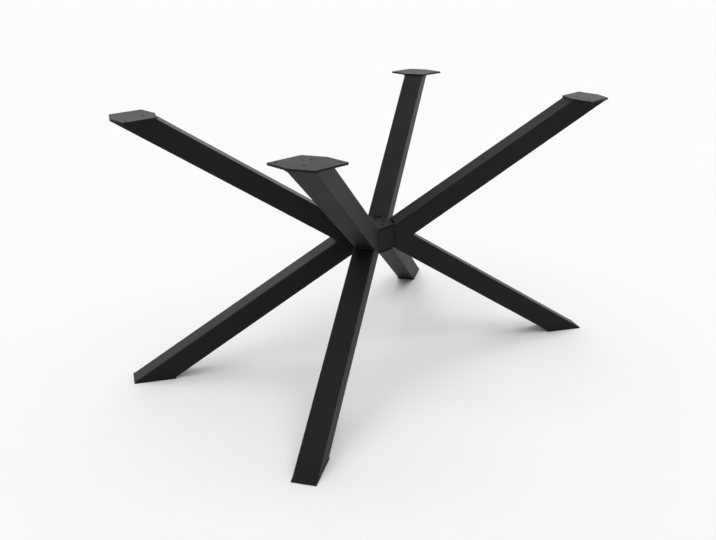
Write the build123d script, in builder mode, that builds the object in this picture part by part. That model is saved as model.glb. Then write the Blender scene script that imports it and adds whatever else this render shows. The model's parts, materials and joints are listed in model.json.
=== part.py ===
from build123d import *
from math import atan2, cos, degrees, radians, sin, sqrt
import os

os.makedirs("parts", exist_ok=True)

# Four star table base in black square steel tube, in millimetres.
# Four V-shaped units stand around a hexagonal hub. Each V lies in its own upright plane: an upper
# arm climbs outwards to a plate under the table top, and a lower leg falls outwards to the floor.
# The origin is on the floor under the middle of the hub, +Z is up and +X is the long way.

# Overall size
height = 740.0            # floor to the upper faces of the top plates
reach = 640.0             # hub axis to the middle of each cut tube end, level
plan_angle = 30.0         # between each V and the X axis, seen from above

# Square tube of the arms and legs
tube_size = 60.0
tube_wall = 3.0
tube_corner = 3.5         # outer radius of the tube's long edges

# Plates under the table top
top_plate_thickness = 5.0
top_plate_length = 124.0  # along X
top_plate_width = 112.0   # along Y
top_plate_margin = 0.5    # plate beyond the cut tube, along the arm
top_plate_corner = 1.5
screw_hole_diameter = 7.0
screw_hole_inset = 13.5   # outer holes, from the plate's straight edges
vent_hole_diameter = 6.0
vent_hole_spacing = 52.0  # holes over the tube's mouth, along the arm

# Plates under the feet
foot_plate_thickness = 3.0
foot_plate_margin = 1.0   # plate beyond the cut tube, all round
foot_plate_corner = 2.0

# Hexagonal hub
hub_flat_allowance = 1.1  # each flat is this much narrower than the tube
hub_wall = 6.0
hub_height = 62.0
hub_corner = 1.5          # outer radius of the upright corners

# Plate on the inner mouth of each V, bolted to one flat of the hub
end_plate_thickness = 5.0
end_plate_inset = 1.5     # plate inside the tube's outline, a ledge for the weld
end_plate_corner = 2.0

# Drain notch in the wall of each tube, at the V's inner mouth
notch_width = 23.0
notch_length = 4.5        # level, from the mouth
notch_corner = 2.0

# Bolts through the hub wall, two for each V
bolt_diameter = 8.0
bolt_length = 20.0
bolt_spacing = 24.0
bolt_hole_diameter = 9.0
bolt_head_across_flats = 13.0
bolt_head_height = 5.3
washer_diameter = 16.0
washer_thickness = 1.6
washer_hole_diameter = 8.4
nut_across_flats = 13.0
nut_height = 6.5
thread_clearance = 0.05   # radial, between each thread and its hole

# Lids that close the hub above and below
lid_thickness = 2.5
lid_groove_height = 4.0   # shadow groove between lid and hub wall
lid_groove_depth = 3.0
lid_spigot_depth = 4.0
lid_spigot_clearance = 0.2
lid_edge_chamfer = 0.6

# Six recessed screws hold each lid, one at every flat of the hub
lid_screw_diameter = 5.0
lid_screw_length = 14.0
lid_screw_inset = 12.5    # hub wall's inner face to screw axis
lid_screw_head_diameter = 8.5
lid_screw_head_height = 3.0
lid_screw_socket = 3.0
lid_screw_socket_depth = 1.8
lid_screw_hole_diameter = 5.5
lid_recess_diameter = 9.5
lid_recess_depth = 6.0
lug_width = 14.0
lug_height = 6.0
lug_overlap = 6.0         # lug beyond the screw's axis, towards the hub's middle

# Places that follow from the sizes above
tube_top = height - top_plate_thickness
tube_bottom = foot_plate_thickness
mid_height = (tube_top + tube_bottom) / 2
hub_flat = tube_size - hub_flat_allowance
hub_apothem = hub_flat * sqrt(3) / 2
tube_start = hub_apothem + end_plate_thickness
slope = degrees(atan2(tube_top - mid_height, reach - tube_start))
upright_section = tube_size / cos(radians(slope))
level_section = tube_size / sin(radians(slope))
tube_inner = tube_size - 2 * tube_wall
tube_inner_corner = max(tube_corner - tube_wall, tube_wall / 10)
hub_inner_apothem = hub_apothem - hub_wall
end_plate_width = tube_size - 2 * end_plate_inset
end_plate_height = upright_section - 2 * end_plate_inset
lid_seat = hub_height / 2
lid_underside = lid_seat + lid_groove_height
lid_top = lid_underside + lid_thickness
lug_top = lid_seat - lid_spigot_depth
lid_screw_radius = hub_inner_apothem - lid_screw_inset

corners = {
    "left_front": 180 + plan_angle,
    "right_front": -plan_angle,
    "right_back": plan_angle,
    "left_back": 180 - plan_angle,
}
flats = [60 * n + 30 for n in range(6)]
bolted_flats = [angle for angle in flats if angle % 180 != 90]


def outward(angle):
    """Level direction away from the hub axis."""
    return Vector(cos(radians(angle)), sin(radians(angle)), 0)


def across(angle):
    """Level direction at right angles to outward."""
    return Vector(-sin(radians(angle)), cos(radians(angle)), 0)


def level_plane(angle, radius, z):
    """Level plane at a radius, with its x axis pointing outwards."""
    origin = outward(angle) * radius + Vector(0, 0, z)
    return Plane(origin=origin, x_dir=outward(angle), z_dir=(0, 0, 1))


def upright_plane(angle, radius, z):
    """Upright plane that faces outwards, with its x axis level and its y axis up."""
    origin = outward(angle) * radius + Vector(0, 0, z)
    return Plane(origin=origin, x_dir=across(angle), z_dir=outward(angle))


def save(piece, name):
    piece.label = name
    export_step(piece, f"parts/{name}.step")


# A length of square tube, sawn upright at the hub, level at its far end and level again where
# the arm and the leg of one V meet at half height. A notch in its outer wall drains the V.
def cut_tube(name, angle, rise, far_cut):
    climb = radians(slope) * rise
    along = outward(angle) * cos(climb) + Vector(0, 0, sin(climb))
    start = outward(angle) * tube_start + Vector(0, 0, mid_height)
    stock_length = reach / cos(climb) + 2 * tube_size
    overrun = 2 * tube_size
    section = Plane(origin=start - along * overrun, x_dir=across(angle), z_dir=along)
    with BuildPart() as tube:
        with BuildSketch(section):
            RectangleRounded(tube_size, tube_size, tube_corner)
            RectangleRounded(tube_inner, tube_inner, tube_inner_corner, mode=Mode.SUBTRACT)
        extrude(amount=stock_length + overrun)
        split(bisect_by=upright_plane(angle, tube_start, mid_height), keep=Keep.TOP)
        split(bisect_by=Plane.XY.offset(far_cut), keep=Keep.BOTTOM if rise > 0 else Keep.TOP)
        split(bisect_by=Plane.XY.offset(mid_height), keep=Keep.TOP if rise > 0 else Keep.BOTTOM)
        with BuildSketch(level_plane(angle, tube_start, mid_height + rise * upright_section / 4)):
            RectangleRounded(2 * notch_length, notch_width, notch_corner)
        extrude(amount=rise * upright_section / 2, mode=Mode.SUBTRACT)
    save(tube.part, name)
    return tube.part


# Plate under the table top: an upright-edged rectangle in line with the table, with two corners
# cut square across the arm so that it ends flush with the tube.
def top_plate(name, angle):
    centre = outward(angle) * reach + Vector(0, 0, tube_top)
    plate_plane = Plane(origin=centre, x_dir=(1, 0, 0), z_dir=(0, 0, 1))
    flush_length = level_section + 2 * top_plate_margin
    side = 1 if sin(radians(2 * angle)) > 0 else -1
    hole_x = top_plate_length / 2 - screw_hole_inset
    hole_y = (top_plate_width / 2 - screw_hole_inset) * side
    with BuildPart() as plate:
        with BuildSketch(plate_plane):
            Rectangle(top_plate_length, top_plate_width)
            Rectangle(flush_length, 2 * reach, rotation=angle, mode=Mode.INTERSECT)
        extrude(amount=top_plate_thickness)
        fillet(plate.edges().filter_by(Axis.Z), top_plate_corner)
        with BuildSketch(plate_plane):
            with Locations((hole_x, -hole_y), (-hole_x, hole_y)):
                Circle(screw_hole_diameter / 2)
        extrude(amount=top_plate_thickness, mode=Mode.SUBTRACT)
        with BuildSketch(level_plane(angle, reach, tube_top)):
            with GridLocations(vent_hole_spacing, 0, 2, 1):
                Circle(vent_hole_diameter / 2)
        extrude(amount=top_plate_thickness, mode=Mode.SUBTRACT)
    save(plate.part, name)
    return plate.part


# Plate that closes the foot and stands on the floor.
def foot_plate(name, angle):
    length = level_section + 2 * foot_plate_margin
    width = tube_size + 2 * foot_plate_margin
    with BuildPart() as plate:
        with BuildSketch(level_plane(angle, reach, 0)):
            RectangleRounded(length, width, foot_plate_corner)
        extrude(amount=foot_plate_thickness)
    save(plate.part, name)
    return plate.part


# Plate on the inner mouth of a V, drilled for its two bolts.
def end_plate(name, angle):
    with BuildPart() as plate:
        with BuildSketch(upright_plane(angle, hub_apothem, mid_height)):
            RectangleRounded(end_plate_width, end_plate_height, end_plate_corner)
            with GridLocations(0, bolt_spacing, 1, 2):
                Circle(bolt_hole_diameter / 2, mode=Mode.SUBTRACT)
        extrude(amount=end_plate_thickness)
    save(plate.part, name)
    return plate.part


for corner, angle in corners.items():
    cut_tube(f"upper_arm_{corner}", angle, 1, tube_top)
    cut_tube(f"lower_leg_{corner}", angle, -1, tube_bottom)
    top_plate(f"top_plate_{corner}", angle)
    foot_plate(f"foot_plate_{corner}", angle)
    end_plate(f"end_plate_{corner}", angle)

# Hexagonal hub wall, open above and below, with two bolt holes in each of its four bolted flats.
with BuildPart() as hub_body:
    with BuildSketch(Plane.XY.offset(mid_height - hub_height / 2)):
        RegularPolygon(hub_apothem, 6, major_radius=False)
    extrude(amount=hub_height)
    fillet(hub_body.edges().filter_by(Axis.Z), hub_corner)
    with BuildSketch(Plane.XY.offset(mid_height - hub_height / 2)):
        RegularPolygon(hub_inner_apothem, 6, major_radius=False)
    extrude(amount=hub_height, mode=Mode.SUBTRACT)
    for angle in bolted_flats:
        with BuildSketch(upright_plane(angle, hub_inner_apothem, mid_height)):
            with GridLocations(0, bolt_spacing, 1, 2):
                Circle(bolt_hole_diameter / 2)
        extrude(amount=hub_wall, mode=Mode.SUBTRACT)
save(hub_body.part, "hub_body")

# Washers, bolts and weld nuts, two of each at every bolted flat.
with BuildPart() as hub_washers:
    for angle in bolted_flats:
        seat = hub_inner_apothem - washer_thickness
        with BuildSketch(upright_plane(angle, seat, mid_height)):
            with GridLocations(0, bolt_spacing, 1, 2):
                Circle(washer_diameter / 2)
                Circle(washer_hole_diameter / 2, mode=Mode.SUBTRACT)
        extrude(amount=washer_thickness)
save(hub_washers.part, "hub_washers")

with BuildPart() as hub_bolts:
    for angle in bolted_flats:
        head_seat = hub_inner_apothem - washer_thickness
        head_end = head_seat - bolt_head_height
        with BuildSketch(upright_plane(angle, head_seat, mid_height)):
            with GridLocations(0, bolt_spacing, 1, 2):
                Circle(bolt_diameter / 2)
        extrude(amount=bolt_length)
        with BuildSketch(upright_plane(angle, head_end, mid_height)):
            with GridLocations(0, bolt_spacing, 1, 2):
                RegularPolygon(bolt_head_across_flats / 2, 6, major_radius=False)
        extrude(amount=bolt_head_height)
save(hub_bolts.part, "hub_bolts")

with BuildPart() as weld_nuts:
    for angle in bolted_flats:
        with BuildSketch(upright_plane(angle, hub_apothem + end_plate_thickness, mid_height)):
            with GridLocations(0, bolt_spacing, 1, 2):
                RegularPolygon(nut_across_flats / 2, 6, major_radius=False)
                Circle(bolt_diameter / 2 + thread_clearance, mode=Mode.SUBTRACT)
        extrude(amount=nut_height)
save(weld_nuts.part, "weld_nuts")


# Everything on the lids is drawn from half height outwards, so the same steps make the upper set
# (side 1) and the lower set (side -1).
def lid_plane(side, z):
    return Plane(origin=(0, 0, mid_height + side * z), x_dir=(1, 0, 0), z_dir=(0, 0, side))


def hub_lid(name, side):
    spigot_apothem = hub_inner_apothem - lid_spigot_clearance
    with BuildPart() as lid:
        with BuildSketch(lid_plane(side, lid_underside)):
            RegularPolygon(hub_apothem, 6, major_radius=False)
        extrude(amount=lid_thickness)
        fillet(lid.edges().filter_by(Axis.Z), hub_corner)
        chamfer(lid.faces().filter_by(Axis.Z).edges(), lid_edge_chamfer)
        with BuildSketch(lid_plane(side, lid_seat)):
            RegularPolygon(hub_apothem - lid_groove_depth, 6, major_radius=False)
        extrude(amount=lid_groove_height)
        with BuildSketch(lid_plane(side, lug_top)):
            RegularPolygon(spigot_apothem, 6, major_radius=False)
        extrude(amount=lid_spigot_depth)
        with BuildSketch(lid_plane(side, lug_top)):
            with PolarLocations(lid_screw_radius, 6, start_angle=30):
                Circle(lid_screw_hole_diameter / 2)
        extrude(amount=lid_top - lug_top, mode=Mode.SUBTRACT)
        with BuildSketch(lid_plane(side, lid_top - lid_recess_depth)):
            with PolarLocations(lid_screw_radius, 6, start_angle=30):
                Circle(lid_recess_diameter / 2)
        extrude(amount=lid_recess_depth, mode=Mode.SUBTRACT)
    save(lid.part, name)


def lid_screws(name, side):
    head_seat = lid_top - lid_recess_depth
    head_end = head_seat + lid_screw_head_height
    with BuildPart() as screws:
        with BuildSketch(lid_plane(side, head_seat - lid_screw_length)):
            with PolarLocations(lid_screw_radius, 6, start_angle=30):
                Circle(lid_screw_diameter / 2)
        extrude(amount=lid_screw_length)
        with BuildSketch(lid_plane(side, head_seat)):
            with PolarLocations(lid_screw_radius, 6, start_angle=30):
                Circle(lid_screw_head_diameter / 2)
        extrude(amount=lid_screw_head_height)
        with BuildSketch(lid_plane(side, head_end - lid_screw_socket_depth)):
            with PolarLocations(lid_screw_radius, 6, start_angle=30):
                RegularPolygon(lid_screw_socket / 2, 6, major_radius=False)
        extrude(amount=lid_screw_socket_depth, mode=Mode.SUBTRACT)
    save(screws.part, name)


def lid_lugs(name, side):
    lug_length = hub_inner_apothem - lid_screw_radius + lug_overlap
    lug_middle = hub_inner_apothem - lug_length / 2
    with BuildPart() as lugs:
        with BuildSketch(lid_plane(side, lug_top - lug_height)):
            with PolarLocations(lug_middle, 6, start_angle=30):
                Rectangle(lug_length, lug_width)
            with PolarLocations(lid_screw_radius, 6, start_angle=30):
                Circle(lid_screw_diameter / 2 + thread_clearance, mode=Mode.SUBTRACT)
        extrude(amount=lug_height)
    save(lugs.part, name)


for place, side in {"upper": 1, "lower": -1}.items():
    hub_lid(f"hub_lid_{place}", side)
    lid_screws(f"lid_screws_{place}", side)
    lid_lugs(f"lid_lugs_{place}", side)

print(f"slope {slope:.2f} degrees, upright section {upright_section:.2f} mm")
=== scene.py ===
# %% [markdown]
# A four star base for a dining table, in black powder-coated steel.
# Four V-shaped units of square tube stand around a small hexagonal hub. The solids arrive finished,
# in metres and in their own places, with +Z up and the floor at zero. This script gives them their
# finish, adds the welds, and sets the floor, the light and the camera.

# %% Load the solids
import json
from math import atan2, cos, degrees, pi, radians, sin, tan

import bpy
from mathutils import Matrix, Vector, noise


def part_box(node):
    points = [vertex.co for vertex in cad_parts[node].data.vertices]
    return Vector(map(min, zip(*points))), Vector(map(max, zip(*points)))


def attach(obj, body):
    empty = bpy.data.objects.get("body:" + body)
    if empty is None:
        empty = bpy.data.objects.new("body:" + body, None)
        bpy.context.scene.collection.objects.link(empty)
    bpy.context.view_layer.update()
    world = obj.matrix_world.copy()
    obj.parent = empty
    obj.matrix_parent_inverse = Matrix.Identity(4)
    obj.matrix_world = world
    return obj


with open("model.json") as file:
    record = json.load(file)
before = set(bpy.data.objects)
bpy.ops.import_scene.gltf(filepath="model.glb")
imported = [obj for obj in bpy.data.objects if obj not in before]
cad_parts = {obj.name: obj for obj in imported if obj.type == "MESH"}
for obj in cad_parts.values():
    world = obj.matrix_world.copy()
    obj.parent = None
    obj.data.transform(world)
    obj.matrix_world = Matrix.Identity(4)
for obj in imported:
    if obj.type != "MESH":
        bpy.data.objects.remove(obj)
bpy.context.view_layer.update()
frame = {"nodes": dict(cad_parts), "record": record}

# %% [markdown]
# The camera. This picture of a table base is taken from chest height, with a lens close to the eye's
# own view. A wider lens would make the far plates small beside the near ones.
# An empty with a tracking constraint could aim the camera, but three plain angles say more clearly
# how it is held: turned, looking down, and a little out of level.

# %% Camera
MM = 0.001

image_width = 716                               # pixels
focal_pixels = 840.7
sensor_width = 36.0                             # mm, a full frame
camera_place = Vector((-1691.8, -1532.6, 1169.8)) * MM
camera_turn = 46.775                            # degrees from +Y towards +X
camera_down = 21.756                            # degrees below the level
camera_tilt = 0.83                              # degrees out of level

camera_data = bpy.data.cameras.new("camera")
camera_data.sensor_width = sensor_width
camera_data.lens = sensor_width * focal_pixels / image_width
camera = bpy.data.objects.new("camera", camera_data)
bpy.context.scene.collection.objects.link(camera)
turn = Matrix.Rotation(radians(-camera_turn), 4, "Z")
look_down = Matrix.Rotation(radians(90 - camera_down), 4, "X")
tilt = Matrix.Rotation(radians(camera_tilt), 4, "Z")
camera.matrix_world = Matrix.Translation(camera_place) @ turn @ look_down @ tilt
bpy.context.scene.camera = camera
bpy.context.scene.view_settings.view_transform = "Standard"
print(f"camera: {camera_data.lens:.1f} mm lens, {camera_place.length:.2f} m from the origin")

# %% [markdown]
# Helpers for materials. Colours are picked as hex values, as a paint chart or an image editor gives
# them, and Blender works with linear light, so one function turns one into the other.
# Materials are trees of nodes. One small function adds a node, sets its properties, and fills or
# links its sockets, so a material reads as a short list of what is in it. Patterns are sized in
# millimetres, and another function turns that into the scale that a texture asks for.
# A Mix node has sockets for numbers, vectors and colours under the same names, so its colour sockets
# are reached by number.

# %% Helpers for colours, nodes and patterns
MIX_A, MIX_B, MIX_RESULT = 6, 7, 2


def colour(hex_value):
    """An sRGB hex value as linear red, green, blue and alpha."""
    shares = [int(hex_value[i:i + 2], 16) / 255 for i in (1, 3, 5)]
    linear = [s / 12.92 if s <= 0.04045 else ((s + 0.055) / 1.055) ** 2.4 for s in shares]
    return (*linear, 1.0)


def add_node(tree, kind, settings=None, sockets=None):
    """Adds a node. A socket is given a value, or the output that is linked to it."""
    node = tree.nodes.new(kind)
    for name, value in (settings or {}).items():
        setattr(node, name, value)
    for name, value in (sockets or {}).items():
        if isinstance(value, bpy.types.NodeSocket):
            tree.links.new(value, node.inputs[name])
        else:
            node.inputs[name].default_value = value
    return node


def new_material(name):
    """An empty material with its node tree and its shader."""
    material = bpy.data.materials.new(name)
    material.use_nodes = True
    tree = material.node_tree
    return material, tree, tree.nodes["Principled BSDF"]


def per_metre(spacing):
    """Scale of a pattern whose marks are so many millimetres apart."""
    return 1 / (spacing * MM)


print("white in linear light:", colour("#ffffff")[0])

# %% [markdown]
# The floor. The picture has a plain white ground, so the floor is a pale matt sheet, large enough to
# run past the top of the frame. A curved backdrop would do the same, but the camera looks down so
# far that a flat floor fills the picture. It keeps the soft shadow under the feet, which shows that
# the base stands on it.

# %% Floor
floor_half = 60.0                               # metres

floor_mesh = bpy.data.meshes.new("floor")
floor_corners = [(-floor_half, -floor_half, 0), (floor_half, -floor_half, 0),
                 (floor_half, floor_half, 0), (-floor_half, floor_half, 0)]
floor_mesh.from_pydata(floor_corners, [], [(0, 1, 2, 3)])
floor = bpy.data.objects.new("floor", floor_mesh)
bpy.context.scene.collection.objects.link(floor)
floor_paint, tree, shader = new_material("matt_white_floor")
shader.inputs["Base Color"].default_value = colour("#fafafa")
shader.inputs["Roughness"].default_value = 1.0
shader.inputs["Specular IOR Level"].default_value = 0.0
floor_mesh.materials.append(floor_paint)
print("floor:", 2 * floor_half, "m square")

# %% [markdown]
# The studio. The coat is so dark that nearly all the eye gets from it is reflection, so the light is
# chosen by what each face mirrors. Plates and upper faces mirror the backdrop low behind the base,
# and shine. The broad sides of the tubes mirror the floor and the room in front, and stay black.
# Area lamps could stand for the studio one by one. The world says the same with less. At the horizon
# it is nearly as bright as the floor, so a low view shows only a faint edge there. Higher up it is
# dim, and low behind the base it is bright.
# The world is set by direction. The height of a direction is its sine, 0 at the horizon and 1 overhead.

# %% World
horizon_light = 0.95
room_light = 0.3
backdrop_light = 3.3
room_heights = (0.08, 0.40)                     # the horizon's light fades to the room's between these
backdrop_foot = (0.04, 0.13)                    # the backdrop begins between these heights
backdrop_head = (0.15, 0.55)                    # and ends between these
backdrop_turn = 46.8                            # degrees from +Y towards +X, straight behind the base
backdrop_spread = (0.0, 0.9)                    # cosines of the angle off its middle, where it starts
                                                # and where it has its full light

world = bpy.data.worlds.new("studio")
bpy.context.scene.world = world
world.use_nodes = True
tree = world.node_tree
tree.nodes.clear()
direction = add_node(tree, "ShaderNodeTexCoord").outputs["Generated"]
height = add_node(tree, "ShaderNodeSeparateXYZ", {}, {"Vector": direction}).outputs["Z"]
room = add_node(tree, "ShaderNodeMapRange", {"interpolation_type": "SMOOTHSTEP"},
                {"Value": height, "From Min": room_heights[0], "From Max": room_heights[1],
                 "To Min": horizon_light, "To Max": room_light})
towards_back = Vector((sin(radians(backdrop_turn)), cos(radians(backdrop_turn)), 0.0))
facing = add_node(tree, "ShaderNodeVectorMath", {"operation": "DOT_PRODUCT"},
                  {0: direction, 1: towards_back})
behind = add_node(tree, "ShaderNodeMapRange", {"interpolation_type": "SMOOTHSTEP"},
                  {"Value": facing.outputs["Value"],
                   "From Min": backdrop_spread[0], "From Max": backdrop_spread[1],
                   "To Min": 0.0, "To Max": backdrop_light})
above_foot = add_node(tree, "ShaderNodeMapRange", {"interpolation_type": "SMOOTHSTEP"},
                      {"Value": height, "From Min": backdrop_foot[0], "From Max": backdrop_foot[1]})
below_head = add_node(tree, "ShaderNodeMapRange", {"interpolation_type": "SMOOTHSTEP"},
                      {"Value": height, "From Min": backdrop_head[0], "From Max": backdrop_head[1],
                       "To Min": above_foot.outputs["Result"], "To Max": 0.0})
strength = add_node(tree, "ShaderNodeMath", {"operation": "MULTIPLY_ADD"},
                    {0: behind.outputs["Result"], 1: below_head.outputs["Result"],
                     2: room.outputs["Result"]})
sky = add_node(tree, "ShaderNodeBackground", {},
               {"Color": colour("#ffffff"), "Strength": strength.outputs["Value"]})
add_node(tree, "ShaderNodeOutputWorld", {}, {"Surface": sky.outputs["Background"]})
print("world: horizon", horizon_light, "room", room_light, "backdrop", backdrop_light)

# %% [markdown]
# The lamp. A wide soft box over the table base lights the floor until it is nearly white, and draws
# the soft shadow between the feet. An area lamp would have to be large and near, and its light would
# fall off across the base. A sun lamp with a wide angle is as soft, and even.

# %% Lamp overhead
overhead_power = 1.7                            # watts per square metre
overhead_spread = 80                            # degrees across

lamp_data = bpy.data.lights.new("overhead_lamp", "SUN")
lamp_data.angle = radians(overhead_spread)
lamp_data.energy = overhead_power
lamp = bpy.data.objects.new("overhead_lamp", lamp_data)
bpy.context.scene.collection.objects.link(lamp)
print("overhead lamp:", overhead_power, "W per square metre,", overhead_spread, "degrees across")

# %% [markdown]
# The coat. The tubes and plates are polyester powder coat, sprayed as dry powder and baked at about
# 190 degrees. The powder melts into one black skin about 0.08 mm thick. It never flows quite flat:
# a fine sandy grain stays in it, with a longer, lower wave that painters call orange peel. The grain
# makes it matt, and the resin under it still mirrors light at a low angle, so a plate seen edge on
# looks pale grey. Matting agents keep its mirror weak head on, which the low specular level gives.
# A noise texture in millimetres makes each of the two scales, and bump nodes turn them into relief.
# The real grain is about 0.3 mm. It is drawn three times as coarse, so that it shows.

# %% Powder coat
coat_grain = 0.9                                # mm between grains
coat_wave = 9.0                                 # mm between waves of orange peel
coat_drift = 140.0                              # mm between patches of slightly thicker coat
grain_relief = 0.06                             # mm
grain_strength = 0.35
wave_relief = 0.12                              # mm
wave_strength = 0.25
coat_colour = colour("#0e0e0f")
coat_colour_thin = colour("#121213")
coat_roughness = (0.57, 0.63)                   # in thick and in thin patches
drift_range = (0.3, 0.7)                        # the part of the drift's noise that is spread out
coat_ior = 1.5                                  # close to polyester resin
coat_mirror = 0.2                               # specular level

powder_coat, tree, shader = new_material("polyester_powder_coat")
place = add_node(tree, "ShaderNodeTexCoord").outputs["Object"]
grain = add_node(tree, "ShaderNodeTexNoise", {},
                 {"Vector": place, "Scale": per_metre(coat_grain), "Detail": 1.0})
wave = add_node(tree, "ShaderNodeTexNoise", {},
                {"Vector": place, "Scale": per_metre(coat_wave), "Detail": 2.0})
drift = add_node(tree, "ShaderNodeTexNoise", {},
                 {"Vector": place, "Scale": per_metre(coat_drift), "Detail": 3.0})
tone = add_node(tree, "ShaderNodeMix", {"data_type": "RGBA"},
                {"Factor": drift.outputs["Fac"], MIX_A: coat_colour, MIX_B: coat_colour_thin})
matt = add_node(tree, "ShaderNodeMapRange", {},
                {"Value": drift.outputs["Fac"], "From Min": drift_range[0], "From Max": drift_range[1],
                 "To Min": coat_roughness[0], "To Max": coat_roughness[1]})
peel = add_node(tree, "ShaderNodeBump", {},
                {"Strength": wave_strength, "Distance": wave_relief * MM,
                 "Height": wave.outputs["Fac"]})
relief = add_node(tree, "ShaderNodeBump", {},
                  {"Strength": grain_strength, "Distance": grain_relief * MM,
                   "Height": grain.outputs["Fac"], "Normal": peel.outputs["Normal"]})
tree.links.new(tone.outputs[MIX_RESULT], shader.inputs["Base Color"])
tree.links.new(matt.outputs["Result"], shader.inputs["Roughness"])
tree.links.new(relief.outputs["Normal"], shader.inputs["Normal"])
shader.inputs["IOR"].default_value = coat_ior
shader.inputs["Specular IOR Level"].default_value = coat_mirror
print("powder coat: grain", coat_grain, "mm, orange peel", coat_wave, "mm")

# %% [markdown]
# The screws in the lids are black oxide steel. The steel itself is turned to black iron oxide in a hot
# salt bath and oiled, so the film is thin, smoother than paint, and a little blue.
# An anisotropic shader would suit a turned screw. These heads are pressed cold and have no direction,
# so a noise texture gives them their marks.

# %% Black oxide
oxide_grain = 0.5                               # mm between marks of the cold heading
oxide_relief = 0.03                             # mm
oxide_strength = 0.3
oxide_black = colour("#0c0c0e")
oxide_blue = colour("#15151a")
oxide_roughness = (0.32, 0.46)
oxide_ior = 2.0

black_oxide, tree, shader = new_material("black_oxide_steel_screw")
place = add_node(tree, "ShaderNodeTexCoord").outputs["Object"]
marks = add_node(tree, "ShaderNodeTexNoise", {},
                 {"Vector": place, "Scale": per_metre(oxide_grain), "Detail": 2.0})
film = add_node(tree, "ShaderNodeMix", {"data_type": "RGBA"},
                {"Factor": marks.outputs["Fac"], MIX_A: oxide_black, MIX_B: oxide_blue})
sheen = add_node(tree, "ShaderNodeMapRange", {},
                 {"Value": marks.outputs["Fac"],
                  "To Min": oxide_roughness[0], "To Max": oxide_roughness[1]})
dents = add_node(tree, "ShaderNodeBump", {},
                 {"Strength": oxide_strength, "Distance": oxide_relief * MM,
                  "Height": marks.outputs["Fac"]})
tree.links.new(film.outputs[MIX_RESULT], shader.inputs["Base Color"])
tree.links.new(sheen.outputs["Result"], shader.inputs["Roughness"])
tree.links.new(dents.outputs["Normal"], shader.inputs["Normal"])
shader.inputs["IOR"].default_value = oxide_ior
print("black oxide: marks", oxide_grain, "mm apart")

# %% [markdown]
# The bolts, washers and nuts inside the hub are zinc plated and passivated. Zinc grows as fine
# crystals, which makes the metal silvery with a soft, cloudy shine, here bluish and there yellowish.
# One even grey would do for parts that the hub hides. The clouds are cheap, and show when it is opened.

# %% Zinc plate
zinc_cloud = 3.0                                # mm between clouds in the plating
zinc_relief = 0.02                              # mm
zinc_strength = 0.2
zinc_bluish = colour("#b9c0c9")
zinc_yellowish = colour("#cbcabd")
zinc_roughness = (0.26, 0.44)

zinc_plate, tree, shader = new_material("passivated_zinc_plate")
place = add_node(tree, "ShaderNodeTexCoord").outputs["Object"]
clouds = add_node(tree, "ShaderNodeTexNoise", {},
                  {"Vector": place, "Scale": per_metre(zinc_cloud), "Detail": 4.0})
plating = add_node(tree, "ShaderNodeMix", {"data_type": "RGBA"},
                   {"Factor": clouds.outputs["Fac"], MIX_A: zinc_bluish, MIX_B: zinc_yellowish})
sheen = add_node(tree, "ShaderNodeMapRange", {},
                 {"Value": clouds.outputs["Fac"],
                  "To Min": zinc_roughness[0], "To Max": zinc_roughness[1]})
crystals = add_node(tree, "ShaderNodeBump", {},
                    {"Strength": zinc_strength, "Distance": zinc_relief * MM,
                     "Height": clouds.outputs["Fac"]})
tree.links.new(plating.outputs[MIX_RESULT], shader.inputs["Base Color"])
tree.links.new(sheen.outputs["Result"], shader.inputs["Roughness"])
tree.links.new(crystals.outputs["Normal"], shader.inputs["Normal"])
shader.inputs["Metallic"].default_value = 1.0
print("zinc plate: clouds", zinc_cloud, "mm apart")

# %% [markdown]
# Each solid takes the finish that the parts list gives it. Materials could be picked by name, piece by
# piece, but the list already says which piece is coated and which is plated, so a loop reads it.

# %% Give every node its finish
finishes = {
    "black_powder_coat": powder_coat,
    "black_oxide_steel": black_oxide,
    "zinc_plated_steel": zinc_plate,
}
for row in frame["record"]["subparts"]:
    solid = frame["nodes"][row["node"]]
    solid.data.materials.clear()
    solid.data.materials.append(finishes[row["material_slot"]])

# %% [markdown]
# The welds. A base like this is welded with a wire gun before it is coated, and the coat runs over the
# welds. Where faces must be flat, as on the sides of each V, the weld is ground away and can't be
# seen. It stays as a bead in the corners: under the top plates, round the feet, in the crotch of
# each V, and beside the plate that closes each V towards the hub. The picture is too coarse to show
# such beads, so their places and sizes follow common workshop practice.
# The corners could be typed in as points. They are measured from the solids instead, because every V
# is the same one turned to its own angle.

# %% Places on one V, measured from the solids
tube_corner = 3.5 * MM                          # outer radius of the tube's long edges
corners = {"left_front": 210, "right_front": -30, "right_back": 30, "left_back": 150}   # degrees from +X
measured_corner = "right_back"
up = Vector((0.0, 0.0, 1.0))


def outward(angle):
    """Level direction away from the hub."""
    return Vector((cos(radians(angle)), sin(radians(angle)), 0.0))


def across(angle):
    """Level direction along the width of the tube."""
    return Vector((-sin(radians(angle)), cos(radians(angle)), 0.0))


def farthest(node, direction):
    """How far a solid reaches in a direction."""
    return max(vertex.co.dot(direction) for vertex in frame["nodes"][node].data.vertices)


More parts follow.
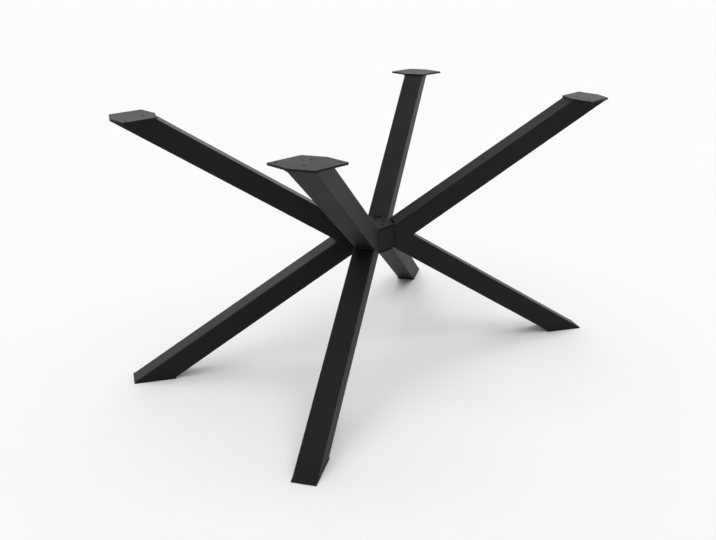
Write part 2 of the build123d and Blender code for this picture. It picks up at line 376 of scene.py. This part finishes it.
plate_low, plate_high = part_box(f"top_plate_{measured_corner}")
arm_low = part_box(f"upper_arm_{measured_corner}")[0]
foot_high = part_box(f"foot_plate_{measured_corner}")[1]
plate_middle = (plate_low + plate_high) / 2
reach = Vector((plate_middle.x, plate_middle.y)).length
tube_top, mid_height, tube_foot = plate_low.z, arm_low.z, foot_high.z
measured_angle = corners[measured_corner]
tube_size = 2 * farthest(f"upper_arm_{measured_corner}", across(measured_angle))
tube_start = -farthest(f"upper_arm_{measured_corner}", -outward(measured_angle))
end_plate_half = farthest(f"end_plate_{measured_corner}", across(measured_angle))
slope = atan2(tube_top - mid_height, reach - tube_start)
level_section = tube_size / sin(slope)
upright_section = tube_size / cos(slope)
crotch_reach = tube_start + upright_section / 2 / tan(slope)
print(f"V: tube {tube_size / MM:.1f} mm, slope {degrees(slope):.2f} degrees, "
      f"crotch {crotch_reach / MM:.1f} mm from the hub's axis")

# %% [markdown]
# One bead. A bead could be a bump map, but its outline shows against the light, so it is a mesh. A
# short profile is set up at each step along the corner, and the steps are joined. The profile swells
# and shrinks with the ripples that the pool of steel leaves as it sets.

# %% Profile of a bead
ripple_pitch = 2.4 * MM                         # between two ripples
ripple_steps = 5                                # steps of the mesh for each ripple
ripple_depth = 0.07                             # share of the bead's size
ripple_bow = 0.4                                # how far a ripple bows in its middle, in pitches
profile_steps = 6
bead_bulge = 0.28                               # how much the middle stands out, share of its size
bead_wander = 0.10                              # slow change of size, share of its size
wander_length = 6 * MM
root_depth = 0.3 * MM                           # the root lies behind the corner, so that no gap shows


def profile_vertices(root, along_a, along_b, leg_a, leg_b, at, taper):
    """The root of the bead and its outer curve from one face to the other. The ripples need to know
    how far along the route this is, which at says."""
    vertices = [root - (along_a + along_b) * root_depth]
    wander = 1 + bead_wander * noise.noise(root / wander_length)
    for step in range(profile_steps + 1):
        share = step / profile_steps
        arc = sin(pi * share)
        phase = at / ripple_pitch + ripple_bow * arc
        ripple = 1 + ripple_depth * cos(2 * pi * phase)
        size = taper * wander * ripple * (1 + bead_bulge * arc)
        flat = along_a * leg_a * (1 - share) + along_b * leg_b * share
        vertices.append(root + flat * size)
    return vertices


print("bead: a ripple every", round(ripple_pitch / MM, 1), "mm")

# %% [markdown]
# A bead runs along its route, which has a step for each profile. It starts and stops round, as a pool
# of steel does, and a ring has no ends at all. The coat covers it, so it takes the coat's finish, and
# it belongs to the one rigid body of the base.

# %% One bead along its route
end_round = 1.2                                 # length of a rounded end, in legs
end_blunt = 0.2 * MM                            # keeps the very end from shrinking to a point


def weld_bead(name, route, leg_a, leg_b, closed=False):
    """A bead in the corner of two faces. Each step of the route has the corner's point and a
    direction along each face, and the legs say how far the bead reaches up each face."""
    lengths = [0.0]
    for before, after in zip(route, route[1:]):
        lengths.append(lengths[-1] + (after[0] - before[0]).length)
    vertices, faces = [], []
    for (root, along_a, along_b), at in zip(route, lengths):
        end_gap = lengths[-1] if closed else min(at, lengths[-1] - at)
        taper = min(1.0, (end_gap + end_blunt) / (end_round * leg_a)) ** 0.5
        vertices += profile_vertices(root, along_a, along_b, leg_a, leg_b, at, taper)
    row = profile_steps + 2
    count = len(route)
    for step in range(count if closed else count - 1):
        near, far = step * row, (step + 1) % count * row
        for side in range(row):
            after = (side + 1) % row
            faces.append((near + side, near + after, far + after, far + side))
    if not closed:
        faces.append(tuple(range(row)))
        faces.append(tuple(reversed(range((count - 1) * row, count * row))))
    mesh = bpy.data.meshes.new(name)
    mesh.from_pydata(vertices, [], faces)
    first_step = route[1][0] - route[0][0]
    if route[0][1].cross(route[0][2]).dot(first_step) < 0:
        mesh.flip_normals()                     # the faces of the bead look outwards either way
    mesh.shade_smooth()
    mesh.materials.append(powder_coat)
    bead = bpy.data.objects.new(name, mesh)
    bpy.context.scene.collection.objects.link(bead)
    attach(bead, "root")


def straight_route(start, end, along_a, along_b):
    """Steps of a straight bead."""
    count = round((end - start).length / ripple_pitch * ripple_steps)
    return [(start.lerp(end, n / count), along_a, along_b) for n in range(count + 1)]


print("profile:", profile_steps + 2, "vertices at each step of a route")

# %% [markdown]
# Each top plate is wider than the tube on both sides, so two straight beads run under it there. At
# its two cut ends it stands out only half a millimetre, and the weld is ground off. In the crotch one
# bead crosses the width of the tube. A bead round the whole tube would be simpler to make, but it
# would stand out past the plate's cut ends.

# %% Beads under the plates and in the crotches
plate_leg = 4 * MM
crotch_leg = 4.5 * MM

for corner, angle in corners.items():
    for side_name, side in {"left": 1, "right": -1}.items():
        edge = across(angle) * side * tube_size / 2 + up * tube_top
        start = outward(angle) * (reach - level_section / 2 + plate_leg) + edge
        end = outward(angle) * (reach + level_section / 2 - plate_leg) + edge
        route = straight_route(start, end, across(angle) * side, -up)
        weld_bead(f"weld_plate_{corner}_{side_name}", route, plate_leg, plate_leg)
    middle = outward(angle) * crotch_reach + up * mid_height
    half_width = across(angle) * (tube_size / 2 - tube_corner / 2)
    up_arm = outward(angle) * cos(slope) + up * sin(slope)
    down_leg = outward(angle) * cos(slope) - up * sin(slope)
    route = straight_route(middle - half_width, middle + half_width, up_arm, down_leg)
    weld_bead(f"weld_crotch_{corner}", route, crotch_leg, crotch_leg)
print("beads under the plates:", 2 * len(corners), "and in the crotches:", len(corners))

# %% [markdown]
# Round a foot the bead is a ring. Its corner follows a rectangle with rounded corners. The tube leans
# there, so the direction up its wall changes along the ring: it is square to the ring and lies in the
# wall. At the heel the wall hangs over the plate, so the bead is low there and stays on the plate.
# A curve with a bevel would be quicker, but its section can't follow the leaning wall.

# %% Route round a foot
heel_overhang = 0.35                            # most of a bead's rise that may lean out over the plate
fewest_arc_steps = 4
quarters = ((1, 1), (-1, 1), (-1, -1), (1, -1))


def leaning_wall(normal, along_leg):
    """Direction up the leg's wall, square to the ring, and shorter where the wall hangs over."""
    wall_normal = normal - up * normal.dot(along_leg) / along_leg.z
    wall = wall_normal.cross(up.cross(normal)).normalized()
    return wall * heel_overhang / max(wall.dot(normal), heel_overhang)


def ring_outline(half_x, half_y, radius_x, radius_y):
    """Points on a rectangle with rounded corners, each with the slant of its normal."""
    spacing = ripple_pitch / ripple_steps
    arc_steps = max(fewest_arc_steps, round(pi / 2 * radius_x / spacing))
    points = []
    for quarter, (sign_x, sign_y) in enumerate(quarters):
        centre_x, centre_y = sign_x * (half_x - radius_x), sign_y * (half_y - radius_y)
        for step in range(arc_steps + 1):
            turn_here = (quarter + step / arc_steps) * pi / 2
            bend_x, bend_y = cos(turn_here), sin(turn_here)
            points.append((centre_x + radius_x * bend_x, centre_y + radius_y * bend_y,
                           bend_x / radius_x, bend_y / radius_y))
        x, y, slant_x, slant_y = points[-1]
        next_x, next_y = quarters[(quarter + 1) % len(quarters)]
        run_x = next_x * (half_x - radius_x) + radius_x * bend_x - x
        run_y = next_y * (half_y - radius_y) + radius_y * bend_y - y
        count = round(Vector((run_x, run_y)).length / spacing)
        for step in range(1, count):
            points.append((x + run_x * step / count, y + run_y * step / count, slant_x, slant_y))
    return points


def foot_route(angle):
    """Steps of the ring round the foot of one leg."""
    along_leg = outward(angle) * cos(slope) - up * sin(slope)
    foot_middle = outward(angle) * reach + up * tube_foot
    route = []
    for x, y, slant_x, slant_y in ring_outline(level_section / 2, tube_size / 2,
                                               tube_corner / sin(slope), tube_corner):
        normal = (outward(angle) * slant_x + across(angle) * slant_y).normalized()
        root = foot_middle + outward(angle) * x + across(angle) * y
        route.append((root, normal, leaning_wall(normal, along_leg)))
    return route


print("ring round a foot:", len(foot_route(measured_angle)), "steps")

# %% [markdown]
# The plate that closes each V is a little narrower than the tube, so that a weld has a ledge to lie on.
# Two upright beads fill the ledge beside the plate. Above and below it the weld is ground off, because
# the hub's lids pass close by. A loop makes them with the ring at the foot of the same V, so that each
# V gets its own welds in one go.

# %% Beads round the feet and beside the end plates
foot_leg = 1.0 * MM
foot_rise = 2.0 * MM
end_leg = 1.2 * MM
end_rise = 2.5 * MM
half_upright = upright_section / 2 - tube_corner
low, high = mid_height - half_upright, mid_height + half_upright

for corner, angle in corners.items():
    weld_bead(f"weld_foot_{corner}", foot_route(angle), foot_leg, foot_rise, closed=True)
    for side_name, side in {"left": 1, "right": -1}.items():
        edge = outward(angle) * tube_start + across(angle) * side * end_plate_half
        route = straight_route(edge + up * low, edge + up * high, across(angle) * side, -outward(angle))
        weld_bead(f"weld_end_plate_{corner}_{side_name}", route, end_leg, end_rise)
print("beads round the feet:", len(corners), "and beside the end plates:", 2 * len(corners))
